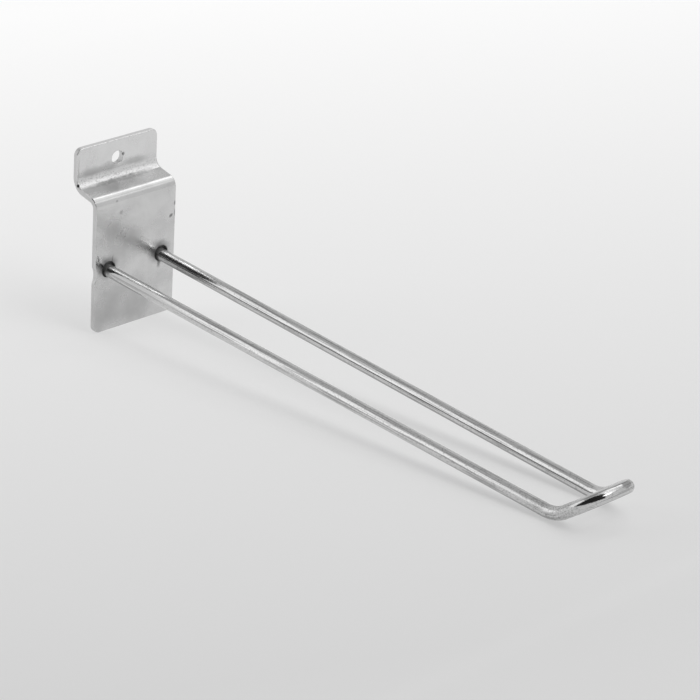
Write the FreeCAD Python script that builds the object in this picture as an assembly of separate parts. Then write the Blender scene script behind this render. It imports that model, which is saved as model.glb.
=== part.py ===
import FreeCAD, Part
import math
import os

# Double wire hook for a slotted wall panel.
# A plate folded from one sheet reaches into the groove of the panel with its upper flange.
# One bent wire makes the two legs, which stand out of the plate, and the raised bar that closes
# them in front. The wire ends sit in two punched holes and are welded flush with the back.
# Lengths are in millimetres and angles in degrees.
# Frame: X runs across the plate, -Y along the legs away from the wall, +Z up.
# Origin: back face of the main plate, midway between the legs, at the height of their axes.

# Sheet and outline of the plate
sheet_thickness = 2.3
plate_width = 40.0
plate_drop = 26.0
corner_radius = 3.0
edge_round = 0.35

# Fold of the plate: main plate, step towards the wall, flange
step_height = 31.0
step_fall = 9.0
lip_gap = 10.3
flange_height = 15.3
lower_bend_inside = 2.2
upper_bend_inside = 4.0

# Round hole in the flange, its centre measured down from the top edge
flange_hole_diameter = 5.5
flange_hole_down = 7.7

# Rolled-in edge that the punch leaves on the front of the flange hole
punched_edge_round = 0.25

# Wire; each leg leaves the plate at a set distance from its side edge
wire_diameter = 5.0
leg_edge_distance = 6.75
leg_length = 244.3
leg_bend_radius = 14.8
upturn_angle = 39.0
upturn_straight = 4.9
front_bend_radius = 9.9
front_straight = 2.9

# Seat of a leg: the wire lies near the lower edge of a wider hole and is welded at the back
leg_hole_clearance = 0.7
leg_hole_seat_gap = 0.1
weld_depth = 0.9

# Shallow dent that the weld has drawn into the left edge
dent_length = 7.0
dent_depth = 0.8
dent_height = -1.0
dent_end_radius = 2.5

# Cutters run past the sheet by this much, and points closer than this count as one
cut_past = 1.0
same_place = 1e-6

# Faces that turn by more than this angle meet in a sharp edge
sharp_turn = 45.0

# Sizes that follow
leg_spacing = plate_width - 2 * leg_edge_distance
leg_hole_radius = wire_diameter / 2 + leg_hole_clearance
leg_hole_rise = leg_hole_clearance - leg_hole_seat_gap
step_slope = math.tan(math.radians(step_fall))
flange_back = lip_gap + sheet_thickness
flange_top = step_height + flange_back * step_slope + flange_height
flange_hole_height = flange_top - flange_hole_down


def vector(x, y, z):
    return FreeCAD.Vector(x, y, z)


def rounded_line(corners, radii):
    """Edges through the corner points, with a tangent arc of the given radius at each inner one."""
    edges = []
    start = corners[0]
    for index, radius in enumerate(radii, start=1):
        corner = corners[index]
        back = (corners[index - 1] - corner).normalize()
        ahead = (corners[index + 1] - corner).normalize()
        half_open = back.getAngle(ahead) / 2
        reach = radius / math.tan(half_open)
        middle = corner + (back + ahead).normalize() * (radius / math.sin(half_open) - radius)
        arc_start = corner + back * reach
        arc_end = corner + ahead * reach
        edges.append(Part.LineSegment(start, arc_start).toShape())
        edges.append(Part.Arc(arc_start, middle, arc_end).toShape())
        start = arc_end
    edges.append(Part.LineSegment(start, corners[-1]).toShape())
    return edges


def step_line(y, depth):
    """Height of the step at y: depth 0 is its upper face, depth 1 the face under it."""
    upper = step_height + (y + sheet_thickness) * step_slope
    return upper - depth * sheet_thickness / math.cos(math.radians(step_fall))


def folded_sheet():
    """The strip of sheet with its two bends, still with square corners."""
    x = -plate_width / 2
    front = rounded_line(
        [
            vector(x, lip_gap, flange_top),
            vector(x, lip_gap, step_line(lip_gap, 0)),
            vector(x, -sheet_thickness, step_line(-sheet_thickness, 0)),
            vector(x, -sheet_thickness, -plate_drop),
        ],
        [upper_bend_inside, lower_bend_inside + sheet_thickness],
    )
    back = rounded_line(
        [
            vector(x, 0, -plate_drop),
            vector(x, 0, step_line(0, 1)),
            vector(x, flange_back, step_line(flange_back, 1)),
            vector(x, flange_back, flange_top),
        ],
        [lower_bend_inside, upper_bend_inside + sheet_thickness],
    )
    bottom = Part.LineSegment(vector(x, -sheet_thickness, -plate_drop), vector(x, 0, -plate_drop)).toShape()
    top = Part.LineSegment(vector(x, flange_back, flange_top), vector(x, lip_gap, flange_top)).toShape()
    outline = Part.Wire(front + [bottom] + back + [top])
    return Part.Face(outline).extrude(vector(plate_width, 0, 0))


def runs_along_y(edge):
    along = edge.Vertexes[-1].Point - edge.Vertexes[0].Point
    return edge.Curve.TypeId == "Part::GeomLine" and edge.Length - abs(along.y) < same_place


def outline_corners(solid):
    """The four short edges through the sheet at the corners of the flange and of the main plate."""
    found = []
    for edge in solid.Edges:
        middle = edge.CenterOfMass
        at_end = min(abs(middle.z - flange_top), abs(middle.z + plate_drop)) < same_place
        at_side = abs(abs(middle.x) - plate_width / 2) < same_place
        if runs_along_y(edge) and at_end and at_side:
            found.append(edge)
    return found


def dented(solid):
    """Cuts the shallow dent into the left edge and rounds its two ends."""
    radius = ((dent_length / 2) ** 2 + dent_depth**2) / (2 * dent_depth)
    x = -plate_width / 2 + dent_depth - radius
    cut = solid.cut(cylinder_along_y(radius, x, dent_height, -sheet_thickness - cut_past, cut_past))
    ends = []
    for edge in cut.Edges:
        middle = edge.CenterOfMass
        on_side = abs(middle.x + plate_width / 2) < same_place
        if runs_along_y(edge) and on_side and abs(middle.z - dent_height) < dent_length:
            ends.append(edge)
    return cut.makeFillet(dent_end_radius, ends)


def face_normal(face, point):
    u, v = face.Surface.parameter(point)
    return face.normalAt(u, v)


def sharp_edges(solid):
    """Edges where two faces meet at a real corner, leaving out the smooth joins at the bends."""
    found = []
    for edge in solid.Edges:
        faces = solid.ancestorsOfType(edge, Part.Face)
        point = edge.valueAt((edge.FirstParameter + edge.LastParameter) / 2)
        turn = face_normal(faces[0], point).getAngle(face_normal(faces[1], point))
        if turn > math.radians(sharp_turn):
            found.append(edge)
    return found


def cylinder_along_y(radius, x, z, y_from, y_to):
    return Part.makeCylinder(radius, y_to - y_from, vector(x, y_from, z), vector(0, 1, 0))


def punched(solid, radius, x, z, front):
    """Cuts a round hole through sheet whose front face is at y = front."""
    back = front + sheet_thickness
    return solid.cut(cylinder_along_y(radius, x, z, front - cut_past, back + cut_past))


def rolled_in(solid, x, z, front):
    """Rounds the front edge of the hole whose centre is at x and z."""
    rim = []
    for edge in solid.Edges:
        if edge.Closed and (edge.CenterOfMass - vector(x, front, z)).Length < same_place:
            rim.append(edge)
    return solid.makeFillet(punched_edge_round, rim)


def make_back_plate():
    """Folded plate: flange with its hole, step, main plate with the two holes for the legs."""
    plate = folded_sheet()
    plate = plate.makeFillet(corner_radius, outline_corners(plate))
    plate = dented(plate)
    plate = plate.makeFillet(edge_round, sharp_edges(plate))
    plate = punched(plate, flange_hole_diameter / 2, 0, flange_hole_height, lip_gap)
    plate = rolled_in(plate, 0, flange_hole_height, lip_gap)
    for side in (-1, 1):
        plate = punched(plate, leg_hole_radius, side * leg_spacing / 2, leg_hole_rise, -sheet_thickness)
    return plate


def loop_corners():
    """Corner points of the wire's centre line, from the left end round the front to the right."""
    angle = math.radians(upturn_angle)
    leg_bend_reach = leg_bend_radius * math.tan(angle / 2)
    upturn = leg_bend_reach + upturn_straight + front_bend_radius
    half_front = front_bend_radius + front_straight / 2
    left = [
        vector(-leg_spacing / 2, 0, 0),
        vector(-half_front, -leg_length, 0),
        vector(-half_front, -leg_length - upturn * math.cos(angle), upturn * math.sin(angle)),
    ]
    right = [vector(-corner.x, corner.y, corner.z) for corner in reversed(left)]
    return left + right


def make_wire_loop():
    """Two legs, upturn and front bar in one wire, with the weld metal that fills each hole's back."""
    corners = loop_corners()
    behind = wire_diameter
    corners[0] += (corners[0] - corners[1]).normalize() * behind
    corners[-1] += (corners[-1] - corners[-2]).normalize() * behind
    radii = [leg_bend_radius, front_bend_radius, front_bend_radius, leg_bend_radius]
    path = Part.Wire(rounded_line(corners, radii))
    section = Part.Wire(Part.makeCircle(wire_diameter / 2, corners[0], corners[1] - corners[0]))
    loop = path.makePipeShell([section], True, False)
    for side in (-1, 1):
        x = side * leg_spacing / 2
        loop = loop.cut(cylinder_along_y(wire_diameter, x, 0, 0, 2 * behind))
        loop = loop.fuse(cylinder_along_y(leg_hole_radius, x, leg_hole_rise, -weld_depth, 0))
    return loop.removeSplitter()


def main():
    os.makedirs("parts", exist_ok=True)
    nodes = {"back_plate": make_back_plate(), "wire_loop": make_wire_loop()}
    for name, shape in nodes.items():
        solid = shape.Solids[0]
        box = solid.BoundBox
        print(name, "solids", len(shape.Solids), "valid", solid.isValid(), "volume", round(solid.Volume, 1))
        print("  x", round(box.XMin, 2), round(box.XMax, 2), "y", round(box.YMin, 2), round(box.YMax, 2))
        print("  z", round(box.ZMin, 2), round(box.ZMax, 2))
        solid.exportStep("parts/" + name + ".step")


main()
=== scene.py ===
# %% [markdown]
# A double wire hook for a slotted wall panel: a plate folded from zinc plated sheet, and one bent
# wire whose two ends are welded into it. The CAD model already holds the plate, with its bends,
# holes and rounded edges, so that piece only needs its finish. The wire is modelled again here,
# finer than the CAD mesh, because bright plating shows every facet.

# %% Load the fixed frame
import math

import bpy
from mathutils import Matrix, Vector
from mathutils.kdtree import KDTree


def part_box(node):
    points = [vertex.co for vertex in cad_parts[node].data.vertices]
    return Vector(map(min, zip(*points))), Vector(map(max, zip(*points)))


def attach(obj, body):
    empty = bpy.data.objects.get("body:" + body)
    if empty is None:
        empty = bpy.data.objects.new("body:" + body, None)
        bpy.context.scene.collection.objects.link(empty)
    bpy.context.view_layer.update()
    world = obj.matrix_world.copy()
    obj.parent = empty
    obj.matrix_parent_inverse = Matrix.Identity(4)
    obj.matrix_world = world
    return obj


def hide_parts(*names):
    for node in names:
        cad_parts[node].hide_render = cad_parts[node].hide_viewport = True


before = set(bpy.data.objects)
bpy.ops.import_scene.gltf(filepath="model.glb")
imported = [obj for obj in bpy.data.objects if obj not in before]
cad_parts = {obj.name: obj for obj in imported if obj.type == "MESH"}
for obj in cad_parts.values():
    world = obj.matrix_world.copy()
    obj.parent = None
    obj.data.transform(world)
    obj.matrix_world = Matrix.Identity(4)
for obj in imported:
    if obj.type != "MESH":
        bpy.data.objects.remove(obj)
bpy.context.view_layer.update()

# %% [markdown]
# Sizes are real ones. Blender works in metres here, so each is written in millimetres times mm.
# The wire's sizes are those that its maker sets on the bending machine. The plate's own places are
# read from the frame: its lowest Y is the front of the main plate, and its highest Y is the back of
# the flange, one sheet behind the flange's front.

# %% Sizes of the wire and of its seat in the plate
mm = 0.001
wire_radius = 2.5 * mm
leg_spacing = 26.5 * mm
leg_length = 244.3 * mm
leg_bend_radius = 14.8 * mm
upturn_angle = math.radians(39)
upturn_straight = 4.9 * mm
front_bend_radius = 9.9 * mm
front_straight = 2.9 * mm
hole_radius = 3.2 * mm
hole_rise = 0.6 * mm
weld_depth = 0.9 * mm
end_in_weld = 0.35 * mm
plate_low, plate_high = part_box("back_plate")
front = plate_low.y / mm
flange_front = plate_high.y / mm + front
print("front of the main plate at y", round(front, 2), "mm")
print("front of the flange at y", round(flange_front, 2), "mm")

# %% [markdown]
# The wire's centre line is straight runs joined by bends, as a bending machine makes it: along the
# left leg, up, round the front, and back along the right leg. It could be a list of points read off
# a drawing, but corners worked out from the bending sizes keep every run tangent to its bends. The
# right half mirrors the left one.

# %% Corners of the centre line
bend_reach = leg_bend_radius * math.tan(upturn_angle / 2)
upturn = bend_reach + upturn_straight + front_bend_radius
half_front = front_bend_radius + front_straight / 2
up_and_out = Vector((0, -math.cos(upturn_angle), math.sin(upturn_angle)))
left_corners = [
    Vector((-leg_spacing / 2, -end_in_weld, 0)),
    Vector((-half_front, -leg_length, 0)),
    Vector((-half_front, -leg_length, 0)) + upturn * up_and_out,
]
corners = left_corners + [Vector((-c.x, c.y, c.z)) for c in reversed(left_corners)]
for corner in left_corners:
    print("left corner", tuple(round(value / mm, 1) for value in corner), "mm")

# %% Bends that round the corners
bend_radii = [leg_bend_radius, front_bend_radius, front_bend_radius, leg_bend_radius]


def bend_at(index, radius):
    """Start, end, centre, axis and angle of the bend that rounds one corner of the centre line."""
    corner = corners[index]
    back = (corners[index - 1] - corner).normalized()
    ahead = (corners[index + 1] - corner).normalized()
    half_open = back.angle(ahead) / 2
    start = corner + back * radius / math.tan(half_open)
    end = corner + ahead * radius / math.tan(half_open)
    centre = corner + (back + ahead).normalized() * radius / math.sin(half_open)
    return start, end, centre, back.cross(ahead).normalized(), math.pi - 2 * half_open


bends = [bend_at(index, radius) for index, radius in enumerate(bend_radii, start=1)]
print("bends turn by", [round(math.degrees(bend[-1]), 1) for bend in bends], "degrees")

# %% [markdown]
# The wire starts as a circle at the rear end of the left leg. Extruding it gives a straight run and
# spinning it gives a bend, and both leave the new end ring selected, so the wire grows as a bending
# machine feeds it. A bevelled curve would be quicker, but spin keeps each bend a true arc. Seen with
# its axis pointing at you, spin turns clockwise and Matrix.Rotation the other way, so the places of
# the rings are worked out with a minus sign.
#
# The drawn lines on the real wire follow its length round every bend. For that, the first ring
# stores where each of its points lies in the section. Extrude and spin copy the stored values to
# each new ring, and the distance along the wire is added afterwards, so the finish can read every
# point's place on the wire as if it had never been bent.
#
# An operator acts on everything that is selected, so each step starts with nothing selected.

# %% The first ring of the wire
ring_points = 64


def select_only(piece):
    """Leaves just this object selected and active."""
    bpy.ops.object.select_all(action="DESELECT")
    piece.select_set(True)
    bpy.context.view_layer.objects.active = piece


def settle(piece):
    """Puts the piece's place into its mesh, so that its object sits at the origin."""
    select_only(piece)
    bpy.ops.object.transform_apply(location=True, rotation=True, scale=True)


leg_direction = (corners[1] - corners[0]).normalized()
bpy.ops.object.select_all(action="DESELECT")
bpy.ops.mesh.primitive_circle_add(
    vertices=ring_points, radius=wire_radius, fill_type="NGON", location=corners[0],
    rotation=leg_direction.to_track_quat("Z", "Y").to_euler(),
)
bent_wire = bpy.context.object
bent_wire.name = "bent_wire"
unbent = bent_wire.data.attributes.new("unbent", "FLOAT_VECTOR", "POINT")
for point, place in zip(bent_wire.data.vertices, unbent.data):
    place.vector = point.co
settle(bent_wire)
print("first ring", len(bent_wire.data.vertices), "points, radius", round(wire_radius / mm, 2), "mm")

# %% Feed the wire through its four bends
spin_steps_per_turn = 180
smooth_below = math.radians(40)
bpy.ops.object.mode_set(mode="EDIT")
bpy.ops.mesh.select_all(action="SELECT")
reached = corners[0]
fed = 0.0
rings = [(reached, fed)]
for start, end, centre, axis, angle in bends:
    bpy.ops.mesh.extrude_region_move(TRANSFORM_OT_translate={"value": start - reached})
    fed += (start - reached).length
    rings.append((start, fed))
    steps = math.ceil(spin_steps_per_turn * angle / math.tau)
    bpy.ops.mesh.spin(steps=steps, angle=angle, center=centre, axis=axis)
    radius = (start - centre).length
    for step in range(1, steps + 1):
        turned = angle * step / steps
        middle = centre + Matrix.Rotation(-turned, 3, axis) @ (start - centre)
        rings.append((middle, fed + radius * turned))
    fed += radius * angle
    reached = end
bpy.ops.mesh.extrude_region_move(TRANSFORM_OT_translate={"value": corners[-1] - reached})
fed += (corners[-1] - reached).length
rings.append((corners[-1], fed))
bpy.ops.mesh.select_all(action="SELECT")
bpy.ops.mesh.normals_make_consistent(inside=False)
bpy.ops.object.mode_set(mode="OBJECT")
bpy.ops.object.shade_smooth_by_angle(angle=smooth_below)
print("wire", round(fed / mm, 1), "mm long,", len(bent_wire.data.polygons), "faces")

# %% Store how far along the wire each point lies
nearest_ring = KDTree(len(rings))
for number, (middle, _) in enumerate(rings):
    nearest_ring.insert(middle, number)
nearest_ring.balance()
unbent = bent_wire.data.attributes["unbent"]
for point, place in zip(bent_wire.data.vertices, unbent.data):
    _, number, _ = nearest_ring.find(point.co)
    place.vector = (place.vector.x, place.vector.y, rings[number][1])
print("unbent place stored from", len(rings), "rings")

# %% [markdown]
# Each wire end sits in a hole that is a little too wide, and weld metal fills the back of the hole
# flush with the plate. A flat disc would do from afar, but a pool of weld that was ground keeps
# faint rings. So the disc starts as a cylinder, and its back face is inset a few times, with each
# ring raised or sunk by up to a tenth of a millimetre.

# %% Model the two welds
weld_points = 48
weld_rings = [(0.35, -0.10), (0.55, 0.07), (0.60, -0.05), (0.65, 0.04)]
# A face looks at the wall where its normal's Y is above this.
looks_at_wall = 0.9


def edit_faces(piece, wanted):
    """Goes into edit mode with only the faces selected for which wanted(face) is true."""
    select_only(piece)
    bpy.ops.object.mode_set(mode="EDIT")
    bpy.ops.mesh.select_mode(type="FACE")
    bpy.ops.mesh.select_all(action="DESELECT")
    bpy.ops.object.mode_set(mode="OBJECT")
    for face in piece.data.polygons:
        face.select = wanted(face)
    bpy.ops.object.mode_set(mode="EDIT")


def model_weld(name, side):
    """One filled hole. The rings are pairs of width and rise in millimetres, from the rim inwards."""
    bpy.ops.object.select_all(action="DESELECT")
    bpy.ops.mesh.primitive_cylinder_add(
        vertices=weld_points, radius=hole_radius, depth=weld_depth, rotation=(math.pi / 2, 0, 0),
        location=(side * leg_spacing / 2, -weld_depth / 2, hole_rise),
    )
    weld = bpy.context.object
    weld.name = name
    settle(weld)
    edit_faces(weld, lambda face: face.normal.y > looks_at_wall)
    for width, rise in weld_rings:
        bpy.ops.mesh.inset(thickness=width * mm)
        bpy.ops.transform.translate(value=(0, rise * mm, 0))
    bpy.ops.object.mode_set(mode="OBJECT")
    bpy.ops.object.shade_smooth_by_angle(angle=smooth_below)
    return weld


welds = [model_weld("weld_left", -1), model_weld("weld_right", 1)]
print("welds", [len(weld.data.polygons) for weld in welds], "faces")

# %% [markdown]
# Materials are built from nodes. One helper adds a node, sets its properties and fills its inputs
# with numbers or links, and one turns a written colour into the linear values that Blender uses.
# The same nodes could be placed by hand in the shader editor, but in code each one gets a name that
# says what it stands for on the real surface.

# %% Helpers for materials
def colour(hex_code):
    """Linear red, green, blue and alpha of an sRGB colour such as #C8C8C6."""
    parts = [int(hex_code[i:i + 2], 16) / 255 for i in (1, 3, 5)]
    return [p / 12.92 if p <= 0.04045 else ((p + 0.055) / 1.055) ** 2.4 for p in parts] + [1.0]


def node(tree, kind, inputs=None, **settings):
    """Adds a node with its settings. Each input is a number, a colour or another node's output."""
    made = tree.nodes.new(kind)
    for name, value in settings.items():
        setattr(made, name, value)
    for name, value in (inputs or {}).items():
        if isinstance(value, bpy.types.NodeSocket):
            tree.links.new(value, made.inputs[name])
        else:
            made.inputs[name].default_value = value
    return made


def new_material(name):
    """A material with an empty node tree, and its tree."""
    made = bpy.data.materials.new(name)
    made.use_nodes = True
    made.node_tree.nodes.clear()
    return made, made.node_tree


print("middle grey #808080 is", round(colour("#808080")[0], 3), "in linear light")

# %% [markdown]
# The plate is cold rolled steel sheet with satin zinc plating. It is not one even grey: plating
# clouds a little, the folds are stretched smooth, cut edges are duller, and welding has left soot in
# and around the holes of the legs. Some of the grey is painted light and shade. The flange, its top
# face, the folds and a patch by the step are painted lighter as painted sheen and painted highlights.
# Painted shade darkens the hole walls, parts of the main plate and the folds. An image could hold
# all that, but it would need a UV map and would blur up close. Here each trace is a mask between 0
# and 1, made first, and laid over the colour afterwards like a thin coat of paint.
#
# A mark that has a place of its own is an egg-shaped mask: a Mapping node shrinks an egg with the
# given half sizes to a ball of radius 1, and the distance from its middle then fades the mask. It
# starts to fade at a quarter of the egg, so a mark has no hard rim.

# %% Helpers for masks
full_within = 0.25


def mark_mask(tree, place, centre, half_sizes, turn=0):
    """1 in the middle of a mark and 0 outside it. Sizes are in millimetres, turn in degrees."""
    ball = node(tree, "ShaderNodeMapping", {
        "Vector": place,
        "Location": [c * mm for c in centre],
        "Rotation": (0, math.radians(turn), 0),
        "Scale": [h * mm for h in half_sizes]}, vector_type="TEXTURE")
    away = node(tree, "ShaderNodeVectorMath", {0: ball.outputs["Vector"]}, operation="LENGTH")
    fade = node(tree, "ShaderNodeMapRange", {
        "Value": away.outputs["Value"], "From Min": 1.0, "From Max": full_within},
        interpolation_type="SMOOTHSTEP")
    return fade.outputs["Result"]


def sum_of(tree, masks, start=0.0):
    """Adds weighted masks to a start. Each is a pair of an output and how strong it is."""
    total = start
    for mask, strength in masks:
        added = node(tree, "ShaderNodeMath", {0: mask, 1: strength, 2: total}, operation="MULTIPLY_ADD")
        total = added.outputs[0]
    return total


def painted(tree, surface, coats):
    """Lays coats over a colour in turn. Each is a mask, a colour and how much it covers at most."""
    for mask, hex_code, most in coats:
        cover = node(tree, "ShaderNodeMath", {0: mask, 1: most}, operation="MULTIPLY", use_clamp=True)
        coat = node(tree, "ShaderNodeMix", {
            0: cover.outputs[0], 6: surface, 7: colour(hex_code)}, data_type="RGBA")
        surface = coat.outputs[2]
    return surface


print("a mark is full within", full_within, "of its half size")

# %% [markdown]
# These are the marks on the plate. Each is a centre, three half sizes, a turn about the Y axis and
# a strength. Lengths are in millimetres in the hook's own frame, and the turn is in degrees. The soot
# lies round the holes of the legs. Beside it is a faint dark streak, which is a painted reflection of
# the right leg. Handling has left soft grey patches on the flange, and a darker patch lies on the
# left of the step. The other soft grey patches are painted reflection and painted shade. They lie
# over the main plate where it mirrors the legs and their shadows, and at the foot of the upper fold.
# The shades along the folds are painted shade too, and they narrow the bright bands of the folds.
# The specks are nicks, creases and scratches. One black spot is painted shade in the gap at the left
# end of the upper fold, and its strength above 1 gives it a harder rim.

# %% Marks on the plate
soot_and_painted_streak = [
    ((-13.9, front, 1.6), (6.6, 3.0, 6.2), 0, 0.62),
    ((12.4, front, 1.6), (6.8, 3.0, 6.2), 0, 0.66),
    # Painted reflection: a faint dark streak up and left of the right leg's root, where the plate
    # mirrors that leg.
    ((4.6, front, 6.2), (9.0, 2.0, 1.5), 38, 0.12),
    ((12.2, front, -3.2), (1.3, 2.0, 3.2), 0, 0.55),
]
smudges_and_painted_shade = [
    ((-13.5, flange_front, 37.4), (8.0, 2.0, 3.0), 0, 0.20),
    ((-4.5, flange_front, 37.7), (6.5, 2.0, 3.2), -6, 0.24),
    ((8.5, flange_front, 37.6), (7.5, 2.0, 2.2), 4, 0.20),
    # Painted reflection: these three darken the main plate left of the middle and low down, where it
    # mirrors the legs and their shadows.
    ((-9.0, front, 12.0), (13.0, 3.0, 12.0), 0, 0.16),
    ((-4.0, front, -16.0), (22.0, 3.0, 14.0), 0, 0.16),
    ((-16.5, front, -16.0), (7.0, 3.0, 12.0), 0, 0.12),
    ((-6.0, 4.0, 32.0), (15.0, 5.0, 3.0), 0, 0.14),
    # Painted shade at the foot of the upper fold.
    ((0.0, 7.2, 32.5), (26.0, 1.9, 0.8), 0, 0.32),
]
# Painted shade along the folds, which narrows their bright bands.
painted_shade_along_folds = [
    ((0.0, 8.2, 32.9), (26.0, 0.9, 0.65), 0, 0.36),
    ((0.0, -0.9, 30.45), (30.0, 0.6, 0.5), 0, 0.15),
    ((0.0, 0.5, 31.33), (30.0, 0.6, 0.4), 0, 0.12),
]
specks_and_painted_shade = [
    ((2.9, flange_front, 41.5), (0.75, 1.0, 1.2), 0, 0.62),
    ((-7.6, front, 23.6), (1.3, 1.0, 1.3), 0, 0.30),
    ((17.7, front, 15.8), (1.5, 1.0, 0.9), -30, 0.65),
    ((19.6, front, 20.8), (0.7, 1.0, 1.5), 0, 0.60),
    ((19.8, front, 16.6), (0.5, 1.0, 2.6), 0, 0.55),
    ((-9.6, front, 28.6), (0.9, 1.0, 0.6), 0, 0.35),
    ((3.2, front, 29.6), (0.8, 1.0, 0.8), 0, 0.40),
    # Painted shade: a black spot in the gap at the left end of the upper fold.
    ((-19.9, 9.6, 33.4), (0.6, 0.9, 1.1), 0, 1.40),
    ((-18.5, front, 6.2), (2.6, 1.0, 0.5), 74, 0.50),
    ((-16.5, front, 2.8), (2.8, 1.0, 0.5), 52, 0.50),
    ((-11.4, front, 4.8), (0.5, 1.0, 2.2), 12, 0.25),
    ((-19.1, flange_front, 39.5), (0.35, 1.0, 8.0), 0, 0.28),
]
print(len(soot_and_painted_streak), "soot marks,", len(smudges_and_painted_shade), "handling marks")
print(len(painted_shade_along_folds), "shades along the folds,", len(specks_and_painted_shade), "specks_and_painted_shade")

# %% [markdown]
# Three noises run through the sheet. The plating's clouds are about 9 mm wide. Its grain is far
# finer than a pixel, so it is drawn 0.55 mm wide, as coarse as it needs to be to show. The third
# noise moves the place at which a mark is looked up by up to half its own size of 2.6 mm. That way
# soot, smudges and the painted shade on the plate get a ragged rim where an egg would have a smooth
# one. Specks and the painted shade along the folds are moved a quarter as far.

# %% Patterns in the plated sheet
cloud_size = 9 * mm
drawn_grain_size = 0.55 * mm
ragged_size = 2.6 * mm
uneven_share = 0.25
noise_middle = (0.5, 0.5, 0.5)
plated_sheet, tree = new_material("zinc plated sheet")
place = node(tree, "ShaderNodeTexCoord").outputs["Object"]
clouds = node(tree, "ShaderNodeTexNoise", {
    "Vector": place, "Scale": 1 / cloud_size, "Detail": 4.0}).outputs["Fac"]
grain = node(tree, "ShaderNodeTexNoise", {
    "Vector": place, "Scale": 1 / drawn_grain_size, "Detail": 3.0}).outputs["Fac"]
noise = node(tree, "ShaderNodeTexNoise", {
    "Vector": place, "Scale": 1 / ragged_size, "Detail": 3.0}).outputs["Color"]
shift = node(tree, "ShaderNodeVectorMath", {
    0: noise, 1: noise_middle}, operation="SUBTRACT").outputs[0]
ragged = node(tree, "ShaderNodeVectorMath", {
    0: shift, "Scale": ragged_size}, operation="SCALE").outputs[0]
ragged_place = node(tree, "ShaderNodeVectorMath", {0: place, 1: ragged}, operation="ADD").outputs[0]
uneven = node(tree, "ShaderNodeVectorMath", {
    0: ragged, "Scale": uneven_share}, operation="SCALE").outputs[0]
uneven_place = node(tree, "ShaderNodeVectorMath", {0: place, 1: uneven}, operation="ADD").outputs[0]
print("sheet: clouds", cloud_size / mm, "mm, grain", drawn_grain_size / mm, "mm")

# %% [markdown]
# Much of the wear, and of the painted light, follows the shape, so its masks read which way a point
# faces and where it lies. Selecting faces by hand and giving them materials of their own would leave
# a seam at each border, and a mask fades instead. The sides and ends of the sheet, where it was cut,
# face across Y, while the step still faces it by sin(9 degrees) = 0.16. A fold faces half up. In the
# upper one the plating has cracked along its grain. The folds, the upper one most, are painted
# lighter as a painted highlight. The upper part of the flange is painted lighter as a painted sheen,
# with a painted highlight on its top face. A patch over the lower fold and the step, right of the
# middle, is painted lighter as a painted highlight.

# %% Where the sheet is cut and folded, and where it is painted lighter
upper_fold_from = 3 * mm
upper_fold_full = 5 * mm
flange_sheen_from = 35 * mm
flange_sheen_full = 39 * mm
# A face is a cut one where its normal has less of Y than the first, and uncut above the second.
cut_below = 0.05
uncut_above = 0.13
# A fold starts, is full, fades and is gone where its normal has this much of Z.
fold_starts = 0.05
fold_full = 0.30
fold_fades = 0.88
fold_gone = 0.97
normal = node(tree, "ShaderNodeNewGeometry").outputs["Normal"]
facing = node(tree, "ShaderNodeSeparateXYZ", {0: normal}).outputs
spot = node(tree, "ShaderNodeSeparateXYZ", {0: place}).outputs
flatness = node(tree, "ShaderNodeMath", {0: facing["Y"]}, operation="ABSOLUTE").outputs[0]
cut_edge = node(tree, "ShaderNodeMapRange", {
    "Value": flatness, "From Min": uncut_above, "From Max": cut_below}).outputs["Result"]
fold_ramp = node(tree, "ShaderNodeValToRGB", {"Fac": facing["Z"]})
fold_ramp.color_ramp.elements[0].position = fold_starts
fold_ramp.color_ramp.elements[1].position = fold_full
fold_ramp.color_ramp.elements.new(fold_fades).color = (1, 1, 1, 1)
fold_ramp.color_ramp.elements.new(fold_gone).color = (0, 0, 0, 1)
fold = fold_ramp.outputs["Color"]
behind_lip = node(tree, "ShaderNodeMapRange", {
    "Value": spot["Y"], "From Min": upper_fold_from, "From Max": upper_fold_full}).outputs["Result"]
upper_fold = node(tree, "ShaderNodeMath", {
    0: behind_lip, 1: fold}, operation="MULTIPLY").outputs[0]
crack = node(tree, "ShaderNodeMapRange", {
    "Value": grain, "From Min": 0.50, "From Max": 0.38}).outputs["Result"]
cracked = node(tree, "ShaderNodeMath", {0: crack, 1: upper_fold}, operation="MULTIPLY").outputs[0]
# Painted sheen: the upper part of the flange is painted lighter. Its top face gets a painted highlight.
painted_flange_sheen = node(tree, "ShaderNodeMapRange", {
    "Value": spot["Z"], "From Min": flange_sheen_from, "From Max": flange_sheen_full}).outputs["Result"]
faces_up = node(tree, "ShaderNodeMapRange", {
    "Value": facing["Z"], "From Min": 0.90, "From Max": 0.97}).outputs["Result"]
painted_top_highlight = node(tree, "ShaderNodeMath", {0: faces_up, 1: painted_flange_sheen}, operation="MULTIPLY").outputs[0]
# Painted highlight: a lighter patch over the lower fold and the step, right of the middle.
painted_light_patch = mark_mask(tree, ragged_place, (14.0, 3.0, 32.0), (11.0, 8.0, 3.5))
print("sheet: rubbed above z", flange_sheen_full / mm, "mm, upper fold behind y", upper_fold_full / mm, "mm")

# %% [markdown]
# All marks are added up to one mask of dirt and painted shade. The walls of the leg holes are
# painted dark all over, whatever the marks say, for soot and as painted shade deep in the gap round
# the wire. There the distance from the hole's axis decides. Taking X without its sign lets one mask
# serve both holes.

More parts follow.
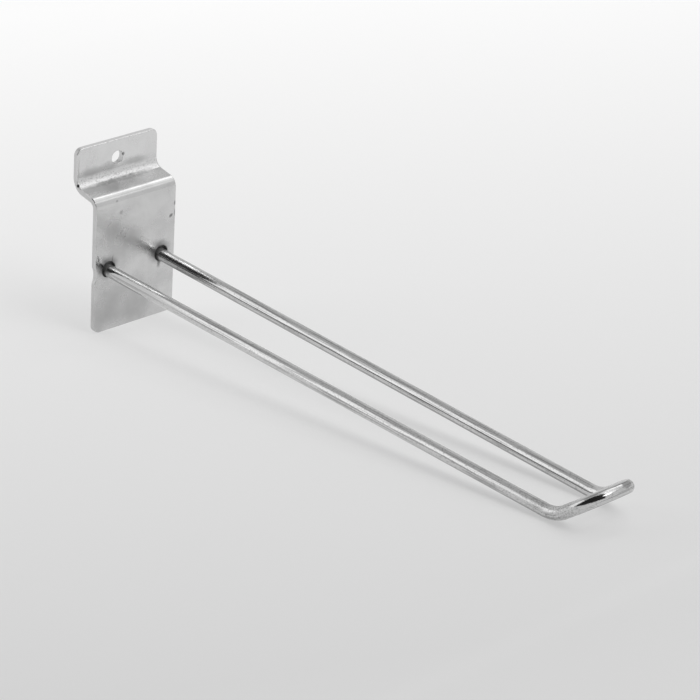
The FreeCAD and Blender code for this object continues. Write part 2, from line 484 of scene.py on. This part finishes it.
# %% Dirt and painted shade on the sheet, soot and painted shade in the holes
hole_shade_margin = 0.08 * mm
hole_shade_fade = 0.25 * mm
dirt_and_painted_shade = sum_of(tree, [
    (mark_mask(tree, ragged_place, centre, half_sizes, turn), strength)
    for centre, half_sizes, turn, strength in soot_and_painted_streak + smudges_and_painted_shade])
dirt_and_painted_shade = sum_of(tree, [
    (mark_mask(tree, uneven_place, centre, half_sizes, turn), strength)
    for centre, half_sizes, turn, strength in painted_shade_along_folds + specks_and_painted_shade], start=dirt_and_painted_shade)
sideways = node(tree, "ShaderNodeMath", {0: spot["X"]}, operation="ABSOLUTE").outputs[0]
across = node(tree, "ShaderNodeMath", {
    0: sideways, 1: leg_spacing / 2}, operation="SUBTRACT").outputs[0]
raised = node(tree, "ShaderNodeMath", {0: spot["Z"], 1: hole_rise}, operation="SUBTRACT").outputs[0]
off_axis = node(tree, "ShaderNodeCombineXYZ", {"X": across, "Y": raised}).outputs[0]
from_axis = node(tree, "ShaderNodeVectorMath", {0: off_axis}, operation="LENGTH").outputs["Value"]
in_hole = node(tree, "ShaderNodeMapRange", {
    "Value": from_axis,
    "From Min": hole_radius + hole_shade_margin + hole_shade_fade,
    "From Max": hole_radius + hole_shade_margin}).outputs["Result"]
print("sheet: soot up to", round((hole_radius + hole_shade_margin) / mm, 2), "mm from the axis of a leg hole")

# %% [markdown]
# The finish is satin zinc, a metal, so it keeps the default IOR and its colour does the work. The
# clouds run between two light greys, and the coats go over them from the widest to the smallest.
# Thick plating is smoother, cut and cracked sheet is rougher, and soot is a matt powder. So in the
# holes, which are painted dark for soot and for the shade in the gap, the surface is hardly metal any
# more. To the eye that gives a soft grey sheen with crisp bright folds. The grain is a relief of
# 0.01 mm, and ten times as deep where the plating cracked.

# %% Finish of the plated sheet
thick_plating = node(tree, "ShaderNodeMapRange", {
    "Value": clouds, "From Min": 0.35, "From Max": 0.62}).outputs["Result"]
# Painted highlights and sheen: the folds, the flange, its top face and one patch get lighter coats.
surface = painted(tree, colour("#CECECE"), [
    (thick_plating, "#DADADA", 1.0),
    (painted_flange_sheen, "#ECECEC", 0.6),
    (fold, "#F0F0F0", 0.12),
    (upper_fold, "#F8F8F8", 0.6),
    (cracked, "#B0B0B0", 0.6),
    (cut_edge, "#D2D2D2", 0.85),
    (painted_top_highlight, "#F4F4F4", 0.9),
    (painted_light_patch, "#F4F4F4", 0.55),
    # Dirt and painted shade.
    (dirt_and_painted_shade, "#2D2D2D", 1.0),
    # Soot and painted shade in the holes of the legs.
    (in_hole, "#747474", 1.0),
])
satin = node(tree, "ShaderNodeMapRange", {
    "Value": clouds, "From Min": 0.3, "From Max": 0.7, "To Min": 0.30, "To Max": 0.22}).outputs["Result"]
roughness = sum_of(tree, [
    (fold, -0.06), (upper_fold, 0.13), (cut_edge, 0.18), (dirt_and_painted_shade, 0.2), (in_hole, 0.4)], start=satin)
metallic = sum_of(tree, [(in_hole, -0.9)], start=1.0)
depth = node(tree, "ShaderNodeMapRange", {
    "Value": upper_fold, "To Min": 0.01 * mm, "To Max": 0.10 * mm}).outputs["Result"]
relief = node(tree, "ShaderNodeBump", {"Height": grain, "Distance": depth, "Strength": 0.7})
zinc = node(tree, "ShaderNodeBsdfPrincipled", {
    "Base Color": surface, "Metallic": metallic, "Roughness": roughness,
    "Normal": relief.outputs["Normal"]})
node(tree, "ShaderNodeOutputMaterial", {"Surface": zinc.outputs["BSDF"]})
print(plated_sheet.name, "has", len(tree.nodes), "nodes")

# %% [markdown]
# The wire is drawn steel with bright plating. Drawing leaves fine lines along its length, which
# follow it round the bends, and the plating has closed over some of them and left small pits. A
# brushed image along a UV map could show that, but the stored unbent place does it with no seam:
# the noise is stretched fifty times along the wire. Real lines and pits are a tenth as wide as
# these, too fine for a pixel, so they are drawn 0.5 and 0.7 mm wide.

# %% Patterns along the wire
drawn_line_width = 0.5 * mm
drawn_pit_size = 0.7 * mm
line_stretch = 50
plated_wire, tree = new_material("bright plated drawn wire")
place = node(tree, "ShaderNodeAttribute", attribute_name="unbent").outputs["Vector"]
stretched = node(tree, "ShaderNodeMapping", {
    "Vector": place, "Scale": (1.0, 1.0, 1 / line_stretch)}).outputs["Vector"]
lines = node(tree, "ShaderNodeTexNoise", {
    "Vector": stretched, "Scale": 1 / drawn_line_width, "Detail": 2.0}).outputs["Fac"]
pits = node(tree, "ShaderNodeTexNoise", {
    "Vector": place, "Scale": 1 / drawn_pit_size, "Detail": 2.0}).outputs["Fac"]
drawn = node(tree, "ShaderNodeMapRange", {
    "Value": lines, "From Min": 0.48, "From Max": 0.40}).outputs["Result"]
pitted = node(tree, "ShaderNodeMapRange", {
    "Value": pits, "From Min": 0.54, "From Max": 0.68}).outputs["Result"]
print("wire: lines", drawn_line_width / mm, "mm apart, pits", drawn_pit_size / mm, "mm wide")

# %% [markdown]
# Two dark lines run along the whole wire, always at the same side of its section. They are a painted
# reflection of the dark side of the room and of the other leg, which round bright wire shows as thin
# dark streaks. With the length scaled to zero, the unbent place says only where a point lies in the
# section, so the distance from one point of the rim gives a line. There are two: a thin dark one and a
# wide faint one.

# %% Painted dark reflection lines along the wire
dark_line_sides = [(17, 0.30, 0.75), (-28, 0.75, 0.5)]
core_share = 0.3
section = node(tree, "ShaderNodeMapping", {"Vector": place, "Scale": (1.0, 1.0, 0.0)}).outputs["Vector"]
painted_dark_lines = 0.0
for degrees, half_width, strength in dark_line_sides:
    side = math.radians(degrees)
    on_rim = (math.cos(side) * wire_radius, math.sin(side) * wire_radius, 0)
    off = node(tree, "ShaderNodeVectorMath", {
        0: section, 1: on_rim}, operation="DISTANCE").outputs["Value"]
    darkened = node(tree, "ShaderNodeMapRange", {
        "Value": off, "From Min": half_width * mm, "From Max": core_share * half_width * mm,
        "To Max": strength}).outputs["Result"]
    painted_dark_lines = node(tree, "ShaderNodeMath", {0: darkened, 1: painted_dark_lines}, operation="MAXIMUM").outputs[0]
print("wire:", len(dark_line_sides), "lines from the die")

# %% [markdown]
# Other traces have their place on the finished hook, so they read Object coordinates like the marks
# on the plate. The bending tools have scuffed the bend of the left leg and the right end of the front
# bar. A strip on the outer side of the left leg, near the plate, is darker, and soot covers both ends
# where they lie in the plate.

# %% Scuffs, a darker strip and soot on the wire
soot_from = -4.2 * mm
soot_full = -2.6 * mm
in_frame = node(tree, "ShaderNodeTexCoord").outputs["Object"]
scuffed = sum_of(tree, [
    (mark_mask(tree, in_frame, (-12.0, -246.0, 2.0), (8.0, 22.0, 12.0)), 0.55),
    (mark_mask(tree, in_frame, (10.0, -256.5, 11.0), (8.0, 10.0, 8.0)), 1.0)])
darker_strip = mark_mask(tree, in_frame, (-15.4, -16.0, 1.3), (1.9, 45.0, 1.9))
rough_spots = node(tree, "ShaderNodeMapRange", {
    "Value": pits, "From Min": 0.46, "From Max": 0.58}).outputs["Result"]
speckled = node(tree, "ShaderNodeMath", {0: rough_spots, 1: scuffed}, operation="MULTIPLY").outputs[0]
out_of_wall = node(tree, "ShaderNodeSeparateXYZ", {0: in_frame}).outputs["Y"]
soot = node(tree, "ShaderNodeMapRange", {
    "Value": out_of_wall, "From Min": soot_from, "From Max": soot_full}).outputs["Result"]
print("wire: soot from y", soot_from / mm, "mm to its ends")

# %% [markdown]
# Bright plating is a metal with the default IOR and a roughness of 0.10 to 0.18, so to the eye the
# studio shows in it as long light and dark streaks, which the drawn lines break up a little. The
# relief is only hundredths of a millimetre deep: lines first, and pits on top.

# %% Finish of the plated wire
surface = painted(tree, colour("#D9D9D9"), [
    (drawn, "#7E7E7E", 0.5),
    (pitted, "#8A8A8A", 0.42),
    (darker_strip, "#AEAEAE", 1.0),
    (speckled, "#808080", 0.5),
    # Painted reflection: dark lines along the wire.
    (painted_dark_lines, "#5A5A5A", 1.0),
    (soot, "#6A6A6A", 0.85),
])
bright = node(tree, "ShaderNodeMapRange", {
    "Value": lines, "From Min": 0.3, "From Max": 0.7, "To Min": 0.18, "To Max": 0.10}).outputs["Result"]
roughness = sum_of(tree, [(soot, 0.4), (scuffed, 0.22)], start=bright)
metallic = sum_of(tree, [(soot, -0.8)], start=1.0)
line_relief = node(tree, "ShaderNodeBump", {"Height": lines, "Distance": 0.04 * mm, "Strength": 0.6})
relief = node(tree, "ShaderNodeBump", {
    "Height": pits, "Distance": 0.022 * mm, "Strength": 0.5, "Normal": line_relief.outputs["Normal"]})
plating = node(tree, "ShaderNodeBsdfPrincipled", {
    "Base Color": surface, "Metallic": metallic, "Roughness": roughness,
    "Normal": relief.outputs["Normal"]})
node(tree, "ShaderNodeOutputMaterial", {"Surface": plating.outputs["BSDF"]})
print(plated_wire.name, "has", len(tree.nodes), "nodes")

# %% [markdown]
# The welds are steel that froze as it flowed, then ground flat and plated with the rest. To the eye
# that is a darker, duller grey than the sheet, with ripples 0.8 mm wide. Their front ends lie deep
# in the holes, where soot covers them and shade falls. So colour and metal fade there, as soot and
# painted shade.

# %% Finish of the weld metal
ripple_size = 0.8 * mm
weld_metal, tree = new_material("plated weld metal")
place = node(tree, "ShaderNodeTexCoord").outputs["Object"]
out_of_wall = node(tree, "ShaderNodeSeparateXYZ", {0: place}).outputs["Y"]
ripples = node(tree, "ShaderNodeTexNoise", {
    "Vector": place, "Scale": 1 / ripple_size, "Detail": 3.0}).outputs["Fac"]
crest = node(tree, "ShaderNodeMapRange", {
    "Value": ripples, "From Min": 0.38, "From Max": 0.60}).outputs["Result"]
into_hole = node(tree, "ShaderNodeMapRange", {
    "Value": out_of_wall, "From Min": -0.1 * mm, "From Max": -0.5 * mm}).outputs["Result"]
# Soot and painted shade: the weld is painted darker deep in the hole.
surface = painted(tree, colour("#A4A4A4"), [(crest, "#C8C8C8", 1.0), (into_hole, "#747474", 1.0)])
roughness = node(tree, "ShaderNodeMapRange", {
    "Value": ripples, "To Min": 0.5, "To Max": 0.3}).outputs["Result"]
metallic = sum_of(tree, [(into_hole, -0.9)], start=1.0)
relief = node(tree, "ShaderNodeBump", {"Height": ripples, "Distance": 0.08 * mm, "Strength": 0.6})
ground_steel = node(tree, "ShaderNodeBsdfPrincipled", {
    "Base Color": surface, "Metallic": metallic, "Roughness": roughness,
    "Normal": relief.outputs["Normal"]})
node(tree, "ShaderNodeOutputMaterial", {"Surface": ground_steel.outputs["BSDF"]})
print(weld_metal.name, "has", len(tree.nodes), "nodes")

# %% [markdown]
# The plate stays the CAD's own mesh and only gets the finish of its sheet. The bent wire stands for
# the CAD's wire, and the two welds go with it. Nothing on a hook moves, so all ride on the one body.

# %% Dress and place the pieces
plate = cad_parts["back_plate"]
plate.data.materials.clear()
plate.data.materials.append(plated_sheet)
bent_wire.data.materials.append(plated_wire)
for weld in welds:
    weld.data.materials.append(weld_metal)
for piece in [bent_wire] + welds:
    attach(piece, "root")
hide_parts("wire_loop")
print("pieces", [plate.name, bent_wire.name] + [weld.name for weld in welds])

# %% [markdown]
# The hook stands on the lower edge of its plate and on the bend in front, so the ground slopes
# against the hook's own frame. The hook keeps its frame, so the ground is turned instead. Its slope
# follows from the two places that touch: the toe's place depends on the slope itself, and a few
# rounds of working out one from the other settle both.

# %% The ground
edge_round = 0.35 * mm
ground_size = 6.0
rounds = 8
heel = Vector((0, plate_low.y + edge_round, plate_low.z))
bend_centre = bends[0][2]
outer_radius = leg_bend_radius + wire_radius
slope = 0.0
for _ in range(rounds):
    toe_y = bend_centre.y - outer_radius * math.sin(slope)
    toe_z = bend_centre.z - outer_radius * math.cos(slope)
    slope = math.atan2(toe_z - heel.z, heel.y - toe_y)
ground_turn = Matrix.Rotation(-slope, 3, "X")
bpy.ops.object.select_all(action="DESELECT")
bpy.ops.mesh.primitive_plane_add(size=ground_size, location=heel, rotation=(-slope, 0, 0))
ground = bpy.context.object
ground.name = "ground"
settle(ground)
print("ground slopes by", round(math.degrees(slope), 2), "degrees")

# %% [markdown]
# The ground is white paper. More light would burn out the hook, so the paper keeps a middle grey
# and a glow that only the camera, mirrors and glass see lifts it to a pale studio ground. The glow
# grows towards the far side, and the hook's shadow stays. From below the paper is see-through, so
# that the hook's underside can be looked at.

# %% Paper for the ground
lighter_towards = math.radians(-25)
glow_from = -0.30
glow_to = 0.45
glow_near = 0.378
glow_far = 0.706
white_paper, tree = new_material("matt white paper")
place = node(tree, "ShaderNodeTexCoord").outputs["Object"]
away = Vector((-math.sin(lighter_towards), math.cos(lighter_towards), 0))
depth = node(tree, "ShaderNodeVectorMath", {0: place, 1: away}, operation="DOT_PRODUCT").outputs["Value"]
glow = node(tree, "ShaderNodeMapRange", {
    "Value": depth, "From Min": glow_from, "From Max": glow_to,
    "To Min": glow_near, "To Max": glow_far}).outputs["Result"]
paths = node(tree, "ShaderNodeLightPath").outputs
seen = sum_of(tree, [(paths["Is Glossy Ray"], 1.0), (paths["Is Transmission Ray"], 1.0)],
              start=paths["Is Camera Ray"])
strength = node(tree, "ShaderNodeMath", {0: seen, 1: glow}, operation="MULTIPLY").outputs[0]
paper = node(tree, "ShaderNodeBsdfDiffuse", {"Color": colour("#ADADAD")})
lift = node(tree, "ShaderNodeEmission", {"Strength": strength})
lit = node(tree, "ShaderNodeAddShader", {0: paper.outputs[0], 1: lift.outputs[0]})
see_through = node(tree, "ShaderNodeBsdfTransparent")
from_below = node(tree, "ShaderNodeNewGeometry").outputs["Backfacing"]
one_sided = node(tree, "ShaderNodeMixShader", {
    0: from_below, 1: lit.outputs[0], 2: see_through.outputs[0]})
node(tree, "ShaderNodeOutputMaterial", {"Surface": one_sided.outputs["Shader"]})
ground.data.materials.append(white_paper)
print(white_paper.name, "glows from", glow_near, "to", glow_far)

# %% [markdown]
# Bright metal is only as good as what it mirrors. A large soft box hangs over the hook, brightest
# towards its front edge, a narrow one hangs by the wall, and one stands behind. An image of a real
# studio could do this, but lamps of known size can be placed until each streak on the wire lies
# where it should. A lamp's power follows from its size and how bright its face looks, so its size
# can change without changing how it looks in the metal.
#
# The lamps overhead are given in ceiling heights: how far to the right of the hook, how far towards
# the wall, how wide, how long, and how bright their face is, where 1 would be white.

# %% Lamps
aim = Vector((0, -0.20, 0))
ceiling = 1.3
overhead = [
    ("overhead soft box", 0.54, -0.40, 1.08, 1.50, 0.5),
    ("strip by the wall", 0.68, 0.20, 0.74, 0.36, 0.62),
    ("middle of the soft box", 0.34, -0.72, 0.72, 0.85, 0.5),
    ("bright part of the soft box", 0.19, -0.65, 0.38, 0.80, 2.3),
    ("front edge of the soft box", 0.14, -1.10, 0.76, 0.34, 3.8),
]
back_azimuth = math.radians(-40)
back_elevation = math.radians(27)
back_distance = 1.8
back_width = 0.96
back_height = 1.38
back_radiance = 0.54


def add_lamp(name, place, faces, width, height, radiance):
    """A soft box: its power follows from its size and how bright its face looks."""
    data = bpy.data.lights.new(name, "AREA")
    data.shape = "RECTANGLE"
    data.size = width
    data.size_y = height
    data.energy = radiance * math.pi * width * height
    lamp = bpy.data.objects.new(name, data)
    bpy.context.collection.objects.link(lamp)
    lamp.location = place
    lamp.rotation_euler = (-faces).to_track_quat("Z", "Y").to_euler()
    return lamp


up = ground_turn @ Vector((0, 0, 1))
for name, x, y, width, length, radiance in overhead:
    place = aim + ground_turn @ Vector((x, y, 1)) * ceiling
    add_lamp(name, place, -up, width * ceiling, length * ceiling, radiance)
back = ground_turn @ Vector((
    math.sin(back_azimuth) * math.cos(back_elevation),
    math.cos(back_azimuth) * math.cos(back_elevation),
    math.sin(back_elevation),
))
add_lamp("back soft box", aim + back_distance * back, -back, back_width, back_height, back_radiance)
print(len(overhead) + 1, "lamps")

# %% [markdown]
# The rest of what the metal mirrors is the room. One half dome stands for its walls: light grey, a
# darker grey on the right and nearly black where the camera stands. That last part gives bright
# metal its black lines. Four flat cards would leave gaps at their corners, which would show as slits
# in a round wire. The camera doesn't see the dome, and behind it the world is a nearly white
# backdrop.

# %% Half dome for the walls
room_radius = 2.6
room_segments = 72
room_rings = 36
bpy.ops.object.select_all(action="DESELECT")
bpy.ops.mesh.primitive_uv_sphere_add(
    segments=room_segments, ring_count=room_rings, radius=room_radius, location=(0, 0, 0))
dome = bpy.context.object
dome.name = "walls"
edit_faces(dome, lambda face: face.center.z < 0)
bpy.ops.mesh.delete(type="FACE")
bpy.ops.object.mode_set(mode="OBJECT")
print("half dome", len(dome.data.polygons), "faces")

# %% [markdown]
# Each wall has a name, its glow low down and high up, and the least and greatest azimuth and
# elevation that it takes up. Both are in degrees, and azimuth is counted from the wall side
# towards +X. A later wall covers an earlier one.

# %% Glow of the walls
walls = [
    ("grey wall", 0.66, 0.46, (-180, 180), (0, 90)),
    ("dark side of the room", 0.02, 0.02, (-176, -58), (7, 75)),
    ("right wall", 0.40, 0.40, (58, 125), (0, 45)),
]
low_height = 1.2
high_height = 2.0
for number, (name, low, high, azimuths, elevations) in enumerate(walls):
    made, tree = new_material(name)
    seen_at = node(tree, "ShaderNodeTexCoord").outputs["Object"]
    height = node(tree, "ShaderNodeSeparateXYZ", {0: seen_at}).outputs["Z"]
    radiance = node(tree, "ShaderNodeMapRange", {
        "Value": height, "From Min": low_height, "From Max": high_height,
        "To Min": low, "To Max": high}).outputs["Result"]
    wall_glow = node(tree, "ShaderNodeEmission", {"Strength": radiance})
    node(tree, "ShaderNodeOutputMaterial", {"Surface": wall_glow.outputs["Emission"]})
    dome.data.materials.append(made)
    for face in dome.data.polygons:
        spot = face.center.normalized()
        azimuth = math.degrees(math.atan2(spot.x, spot.y))
        elevation = math.degrees(math.asin(spot.z))
        if azimuths[0] < azimuth < azimuths[1] and elevations[0] < elevation < elevations[1]:
            face.material_index = number
dome.location = aim
dome.rotation_euler = (-slope, 0, 0)
dome.visible_camera = False
print("walls", [wall[0] for wall in walls])

# %% Backdrop
world = bpy.data.worlds.new("room")
world.use_nodes = True
bpy.context.scene.world = world
world.node_tree.nodes["Background"].inputs["Color"].default_value = colour("#FCFCFC")
print("world colour", [round(value, 3) for value in colour("#FCFCFC")[:3]])

# %% [markdown]
# The camera stands 1.1 m away with a long lens, to the left of the hook and above it, and is turned
# a little about its own axis. A closer camera with a shorter lens would frame the hook as well, but
# would draw the legs apart towards the front.

# %% Camera
camera_azimuth = math.radians(-44.25)
camera_elevation = math.radians(26.40)
camera_roll = math.radians(3.80)
camera_distance = 1.100
camera_target = Vector((5.391, -121.555, 8.219)) * mm
lens_length = 153.2
sensor_width = 36.0
towards_camera = Vector((
    math.sin(camera_azimuth) * math.cos(camera_elevation),
    -math.cos(camera_azimuth) * math.cos(camera_elevation),
    math.sin(camera_elevation),
))
camera_data = bpy.data.cameras.new("camera")
camera_data.lens = lens_length
camera_data.sensor_width = sensor_width
camera = bpy.data.objects.new("camera", camera_data)
bpy.context.collection.objects.link(camera)
camera.location = camera_target + towards_camera * camera_distance
level = towards_camera.to_track_quat("Z", "Y").to_matrix()
camera.rotation_euler = (level @ Matrix.Rotation(camera_roll, 3, "Z")).to_euler()
bpy.context.scene.camera = camera
bpy.context.scene.view_settings.view_transform = "Standard"
print("camera at", tuple(round(value, 3) for value in camera.location), "m")
